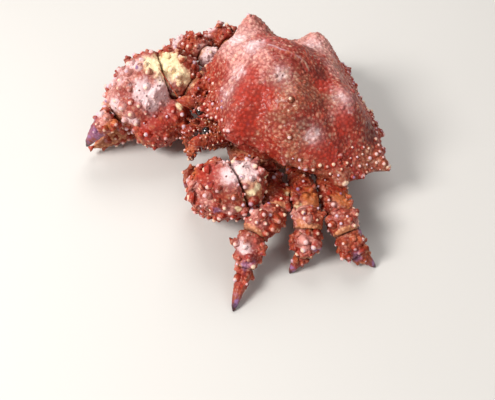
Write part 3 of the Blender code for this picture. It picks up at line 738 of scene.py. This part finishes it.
def dress_limb(node, inner, outer, kind, voxel, paint, slot, number):
    """Rebuild one segment of a limb between the nodes inner and outer; a last one has no outer."""
    sizes = bpy.context.scene.crab_sizes
    draw = np.random.default_rng(SEED + number)
    skin = Skin(shell_copy(node, f"{node}_shell", voxel))
    joint = touching(skin, inner)
    root = skin.points[joint].mean(axis=0)
    cut = joint
    if outer is None:
        tip = skin.points[np.linalg.norm(skin.points - root, axis=1).argmax()]
    else:
        joint = touching(skin, outer)
        tip = skin.points[joint].mean(axis=0)
        cut = cut | joint
    length = np.linalg.norm(tip - root)
    axis = (tip - root) / length
    share = (skin.points - root) @ axis / length
    hand = kind in ("palm", "carpus") and node.startswith("claw")
    skin.refine(*(SMOOTH_HAND if hand else SMOOTH_LIMB))
    inside = skin.relaxed(np.repeat(cut[:, None] * 1.0, 3, axis=1), 3)[:, 0]
    outside = 1.0 - np.clip(inside * 2.0, 0, 1)
    skin.mask["tip"] *= outside
    place_patches(skin)
    if hand:
        skin.mask["orange"] *= 0.55
    bald = skin.mask["lilac"] + 0.7 * (skin.mask["orange"] + skin.mask["gold"]) + 0.4 * skin.mask["red"]
    bald = np.clip(bald, 0.0, 1.0)
    knobs = (LIMB_KNOBS[0] - bald * LIMB_KNOBS[1]) * (outside > 0.95)
    grains = (LIMB_GRAINS[0] - bald * LIMB_GRAINS[1]) * outside
    if kind == "merus":
        knobs = knobs * np.clip(0.5 + 0.6 * share, 0.0, 1.0)
    if kind == "base":
        knobs = knobs * BASE_KNOBS
    if outer is None:
        knobs = knobs * smoothstep(*POINT_KNOBS, share)
        grains = grains * smoothstep(*POINT_GRAINS, share)
        skin.mask["point"] = smoothstep(*POINT_COLOUR, share)
    elif kind != "base":
        skin.mask["edge"] = 0.75 * smoothstep(*RIM_REACH, share) * (skin.mask["tip"] < 0.5)
    swell(skin, *LIMB_SWELL, draw)
    grow_granules(skin, sizes.granule_spacing * GRAIN_SPACING["limb"], draw, grains)
    skin.find_hollows(12, 0.0006)
    # Painted shade where the segment runs into its joints, as in a deep crease.
    skin.mask["dark"] = np.maximum(skin.mask["dark"], 0.6 * (1.0 - outside))
    spacing = sizes.knob_spacing * KNOB_SPACING["hand" if hand else "limb"]
    pale = (0.25, 1.0) if hand else (0.1, 0.9)
    grown = grow_knobs(skin, f"{node}_knobs", spacing, draw, knobs, axis * 0.35, 1.0, pale)
    skin.finish(paint, slot, node)
    if grown is not None:
        grown.finish(paint, slot, node)


def dress_chain(prefix, parts, voxel, paints, slots, number):
    """Rebuild every segment of a limb, from the body outwards, and return the next number."""
    for index, part in enumerate(parts):
        last = index == len(parts) - 1
        inner = f"{prefix}_{parts[index - 1]}" if index else "thorax"
        outer = None if last else f"{prefix}_{parts[index + 1]}"
        dress_limb(
            f"{prefix}_{part}", inner, outer, part, voxel, paints[last], slots[last], number + index
        )
    return number + len(parts)


class CRAB_OT_carapace(bpy.types.Operator):
    """Build the carapace's fine shell"""

    bl_idname = "crab.carapace"
    bl_label = "Carapace"

    def execute(self, context):
        sizes = context.scene.crab_sizes
        tones = context.scene.crab_colours
        draw = np.random.default_rng(SEED)
        skin = Skin(shell_copy("carapace", "carapace_shell", sizes.carapace_voxel))
        skin.refine(*SMOOTH_CARAPACE)
        place_patches(skin)
        # Painted shade along the furrow, as well as its sunk line.
        skin.sink_line(FURROW, *FURROW_CUT, "dark", 0.45)
        skin.sink_line(RIDGE, *RIDGE_CUT, "pink", 0.5)
        skin.mask["lilac"] *= 0.50
        normal = skin.normals()
        upward = smoothstep(-0.2, 0.25, normal[:, 2])
        height = skin.points[:, 2] / UNIT
        margin = smoothstep(*MARGIN_HEIGHT, height) * upward
        front = smoothstep(*FRONT_REACH, (skin.points[:, 1] - MIDDLE.y) / UNIT) * upward
        skin.mask["tip"] *= np.maximum(margin, front)
        bald = np.clip(skin.mask["lilac"] + skin.mask["dark"] + 0.5 * skin.mask["red"], 0.0, 1.0)
        swell(skin, *CARAPACE_SWELL, draw)
        skin.find_hollows(50, 0.0012)
        grains = sizes.granule_spacing * GRAIN_SPACING["carapace"]
        grow_granules(skin, grains, draw, 0.10 + 0.88 * upward)
        skin.mask["fleck"] *= 1 - 0.8 * skin.mask["red"]
        # Painted shadow along the narrow groove, beside its pale lip.
        skin.sink_line(GROOVE, *GROOVE_CUT, "gap", 1.0)
        skin.sink_line(GROOVE_LIP, *LIP_CUT, "tip", 0.42)
        knobs = np.clip(0.9 * np.maximum(margin, front) + 0.04 * skin.mask["tan"], 0, 1)
        grown = grow_knobs(
            skin, "carapace_knobs", sizes.knob_spacing * KNOB_SPACING["carapace"], draw,
            knobs * (1 - 0.9 * bald) * upward, np.array((0, 0, 0.3)), 0.75, (0.1, 1.0),
        )
        paint = shell_paint("carapace_paint", tones, wet=0.20)
        skin.finish(paint, "carapace_shell", "carapace")
        grown.finish(paint, "carapace_shell", "carapace")
        return {"FINISHED"}


class CRAB_OT_underside(bpy.types.Operator):
    """Build the thorax and the folded abdomen"""

    bl_idname = "crab.underside"
    bl_label = "Underside"

    def execute(self, context):
        sizes = context.scene.crab_sizes
        tones = context.scene.crab_colours
        paint = shell_paint("underside_paint", tones, 0.4, belly=0.75)
        for number, node in enumerate(PLATES):
            draw = np.random.default_rng(SEED + PLATE_SEED + number)
            skin = Skin(shell_copy(node, f"{node}_shell", sizes.claw_voxel))
            hidden = np.zeros(skin.count, bool)
            for other in PLATES:
                if other != node:
                    hidden |= touching(skin, other)
            skin.refine(*SMOOTH_PLATE)
            place_patches(skin)
            skin.mask["tip"] *= 0.0
            skin.mask["pink"] += 0.2
            swell(skin, *PLATE_SWELL, draw)
            grains = sizes.granule_spacing * GRAIN_SPACING["plate"]
            grow_granules(skin, grains, draw, np.where(hidden, 0.0, 0.85))
            skin.find_hollows(20, 0.0008)
            share = 0.1 if node == "thorax" else 0.7
            grown = grow_knobs(
                skin, f"{node}_knobs", sizes.knob_spacing * KNOB_SPACING["plate"], draw,
                np.where(hidden, 0.0, share), np.zeros(3), 0.6, (0.1, 0.7),
            )
            skin.finish(paint, "underside_shell", node)
            grown.finish(paint, "underside_shell", node)
        return {"FINISHED"}


class CRAB_OT_legs(bpy.types.Operator):
    """Build the six walking legs, segment by segment"""

    bl_idname = "crab.legs"
    bl_label = "Walking legs"

    def execute(self, context):
        sizes = context.scene.crab_sizes
        tones = context.scene.crab_colours
        paint = shell_paint("leg_paint", tones, 0.4)
        tip_paint = shell_paint("leg_tip_paint", tones, 0.6, horn_tip=True)
        number = LEG_SEED
        for leg in range(1, 4):
            for side in ("left", "right"):
                number = dress_chain(
                    f"leg_{leg}_{side}", LEG_PARTS, sizes.limb_voxel, (paint, tip_paint),
                    ("leg_shell", "leg_tip"), number,
                )
        return {"FINISHED"}


class CRAB_OT_claws(bpy.types.Operator):
    """Build the two claws, segment by segment"""

    bl_idname = "crab.claws"
    bl_label = "Claws"

    def execute(self, context):
        sizes = context.scene.crab_sizes
        tones = context.scene.crab_colours
        paint = shell_paint("claw_paint", tones, 0.25)
        tip_paint = shell_paint("claw_finger_paint", tones, 0.9, horn_tip=True)
        number = CLAW_SEED
        for side in ("left", "right"):
            number = dress_chain(
                f"claw_{side}", CLAW_PARTS, sizes.claw_voxel, (paint, tip_paint),
                ("claw_shell", "claw_finger"), number,
            )
        return {"FINISHED"}


class CRAB_OT_feelers(bpy.types.Operator):
    """Build the antennae, antennules and outer mouthparts"""

    bl_idname = "crab.feelers"
    bl_label = "Feelers and mouthparts"

    def execute(self, context):
        sizes = context.scene.crab_sizes
        tones = context.scene.crab_colours
        paint = shell_paint("feeler_paint", tones, 0.6)
        mouth = shell_paint("mouth_paint", tones, 0.7)
        for number, side in enumerate(("left", "right")):
            for index, kind in enumerate(("antennule", "antenna", "maxilliped")):
                node = f"{kind}_{side}"
                jaw = kind == "maxilliped"
                draw = np.random.default_rng(SEED + FEELER_SEED + 10 * number + index)
                skin = Skin(shell_copy(node, f"{node}_shell", sizes.fine_voxel))
                skin.refine(*SMOOTH_FEELER)
                skin.mask["tip"] *= 1.0 if jaw else 0.0
                root = smoothstep(-96, -86, (skin.points[:, 1] - MIDDLE.y) / UNIT)
                stem = np.ones(skin.count) if jaw else root
                grains = sizes.granule_spacing * GRAIN_SPACING["feeler"]
                grow_granules(skin, grains, draw, 0.8 * stem)
                # Painted shade towards the feeler's root, under the front of the carapace.
                skin.mask["dark"] = 0.35 * root
                grown = grow_knobs(
                    skin, f"{node}_knobs", sizes.knob_spacing * KNOB_SPACING["feeler"], draw,
                    0.8 * stem, np.array((0, -0.5, 0.2)), 1.35,
                )
                look = (mouth, "mouth_shell", node) if jaw else (paint, "feeler_shell", node)
                skin.finish(*look)
                grown.finish(*look)
        return {"FINISHED"}


class CRAB_OT_eyes(bpy.types.Operator):
    """Build the eyes: a polished cornea on a short knobbed stalk"""

    bl_idname = "crab.eyes"
    bl_label = "Eyes"

    def execute(self, context):
        sizes = context.scene.crab_sizes
        tones = context.scene.crab_colours
        stalk_paint = shell_paint("eyestalk_paint", tones, 0.5)
        ball_paint = eye_paint("cornea_paint")
        for number, (side, sign) in enumerate((("left", 1), ("right", -1))):
            node = f"eye_{side}"
            draw = np.random.default_rng(SEED + EYE_SEED + number)
            skin = Skin(shell_copy(node, f"eyestalk_{side}", sizes.fine_voxel))
            skin.refine(*SMOOTH_STALK)
            middle = np.array(at(sign * EYE_PLACE[0], EYE_PLACE[1], EYE_PLACE[2]))
            back = skin.points[:, 1] > middle[1] + STALK_FRONT * UNIT
            skin.points[~back] = middle + (skin.points[~back] - middle) * STALK_SHRINK
            skin.mask["tip"] *= 0.0
            grains = sizes.granule_spacing * GRAIN_SPACING["stalk"]
            grow_granules(skin, grains, draw, back * 0.8)
            grown = grow_knobs(
                skin, f"eyestalk_{side}_knobs", sizes.knob_spacing * KNOB_SPACING["stalk"], draw,
                back * 0.9, np.array((0, -0.3, 0.2)), 1.2,
            )
            skin.finish(stalk_paint, "mouth_shell", node)
            grown.finish(stalk_paint, "mouth_shell", node)
            bpy.ops.mesh.primitive_uv_sphere_add(
                segments=36, ring_count=24, radius=CORNEA_RADIUS * UNIT, location=middle
            )
            ball = bpy.context.active_object
            ball.name = f"cornea_{side}"
            bpy.ops.object.mode_set(mode="EDIT")
            bpy.ops.mesh.select_all(action="SELECT")
            bpy.ops.transform.resize(value=CORNEA_SHAPE)
            bpy.ops.object.mode_set(mode="OBJECT")
            bpy.ops.object.transform_apply(location=True, rotation=True, scale=True)
            hand_over(ball, ball_paint, node)
        return {"FINISHED"}


class CRAB_OT_stage(bpy.types.Operator):
    """Set up the floor, the soft lights and the camera"""

    bl_idname = "crab.stage"
    bl_label = "Stage"

    def execute(self, context):
        deselect()
        bpy.ops.mesh.primitive_plane_add(size=FLOOR_SIZE, location=(0, 0, 0))
        floor = bpy.context.active_object
        floor.name = "floor"
        paint = Paint("floor_paint", 0.9, 0.0)
        paint.link(
            paint.mix(paint.noise(0.4, 2), *FLOOR_TONES), paint.shader.inputs["Base Color"]
        )
        floor.data.materials.append(paint.material)
        turn = math.radians(VIEW_TURN)
        tilt = math.radians(VIEW_TILT)
        back = Vector(
            (math.sin(turn) * math.cos(tilt), -math.cos(turn) * math.cos(tilt), math.sin(tilt))
        )
        aim = at(*VIEW_AIM)
        lens = bpy.data.cameras.new("camera")
        lens.lens = VIEW_LENS
        lens.clip_start = 0.01
        camera = bpy.data.objects.new("camera", lens)
        camera.location = aim + back * VIEW_DISTANCE * UNIT
        camera.rotation_euler = (-back).to_track_quat("-Z", "Y").to_euler()
        context.scene.collection.objects.link(camera)
        context.scene.camera = camera
        for name, place, power, size, tint in LIGHTS:
            data = bpy.data.lights.new(name, "AREA")
            data.energy = power
            data.size = size
            data.color = tint
            lamp = bpy.data.objects.new(name, data)
            lamp.location = place
            lamp.rotation_euler = (-Vector(place)).to_track_quat("-Z", "Y").to_euler()
            context.scene.collection.objects.link(lamp)
        world = bpy.data.worlds.new("studio")
        world.use_nodes = True
        background = world.node_tree.nodes["Background"]
        background.inputs["Color"].default_value = WORLD_TINT
        background.inputs["Strength"].default_value = WORLD_STRENGTH
        context.scene.world = world
        context.scene.view_settings.view_transform = "Standard"
        return {"FINISHED"}


class CRAB_PT_panel(bpy.types.Panel):
    """The crab's pieces, sizes and colours"""

    bl_label = "King crab"
    bl_idname = "CRAB_PT_panel"
    bl_space_type = "VIEW_3D"
    bl_region_type = "UI"
    bl_category = "Crab"

    def draw(self, context):
        for operator in OPERATORS:
            self.layout.operator(operator.bl_idname)
        for group in (context.scene.crab_sizes, context.scene.crab_colours):
            box = self.layout.box()
            for name in group.__annotations__:
                box.prop(group, name)


OPERATORS = (
    CRAB_OT_stage,
    CRAB_OT_carapace,
    CRAB_OT_underside,
    CRAB_OT_legs,
    CRAB_OT_claws,
    CRAB_OT_feelers,
    CRAB_OT_eyes,
)
CLASSES = (CrabSizes, CrabColours, *OPERATORS, CRAB_PT_panel)


def register():
    for each in CLASSES:
        bpy.utils.register_class(each)
    bpy.types.Scene.crab_sizes = PointerProperty(type=CrabSizes)
    bpy.types.Scene.crab_colours = PointerProperty(type=CrabColours)


def unregister():
    del bpy.types.Scene.crab_colours
    del bpy.types.Scene.crab_sizes
    for each in reversed(CLASSES):
        bpy.utils.unregister_class(each)


def main():
    register()
    bpy.ops.crab.stage()
    bpy.ops.crab.carapace()
    bpy.ops.crab.underside()
    bpy.ops.crab.legs()
    bpy.ops.crab.claws()
    bpy.ops.crab.feelers()
    bpy.ops.crab.eyes()


if __name__ == "__main__":
    main()
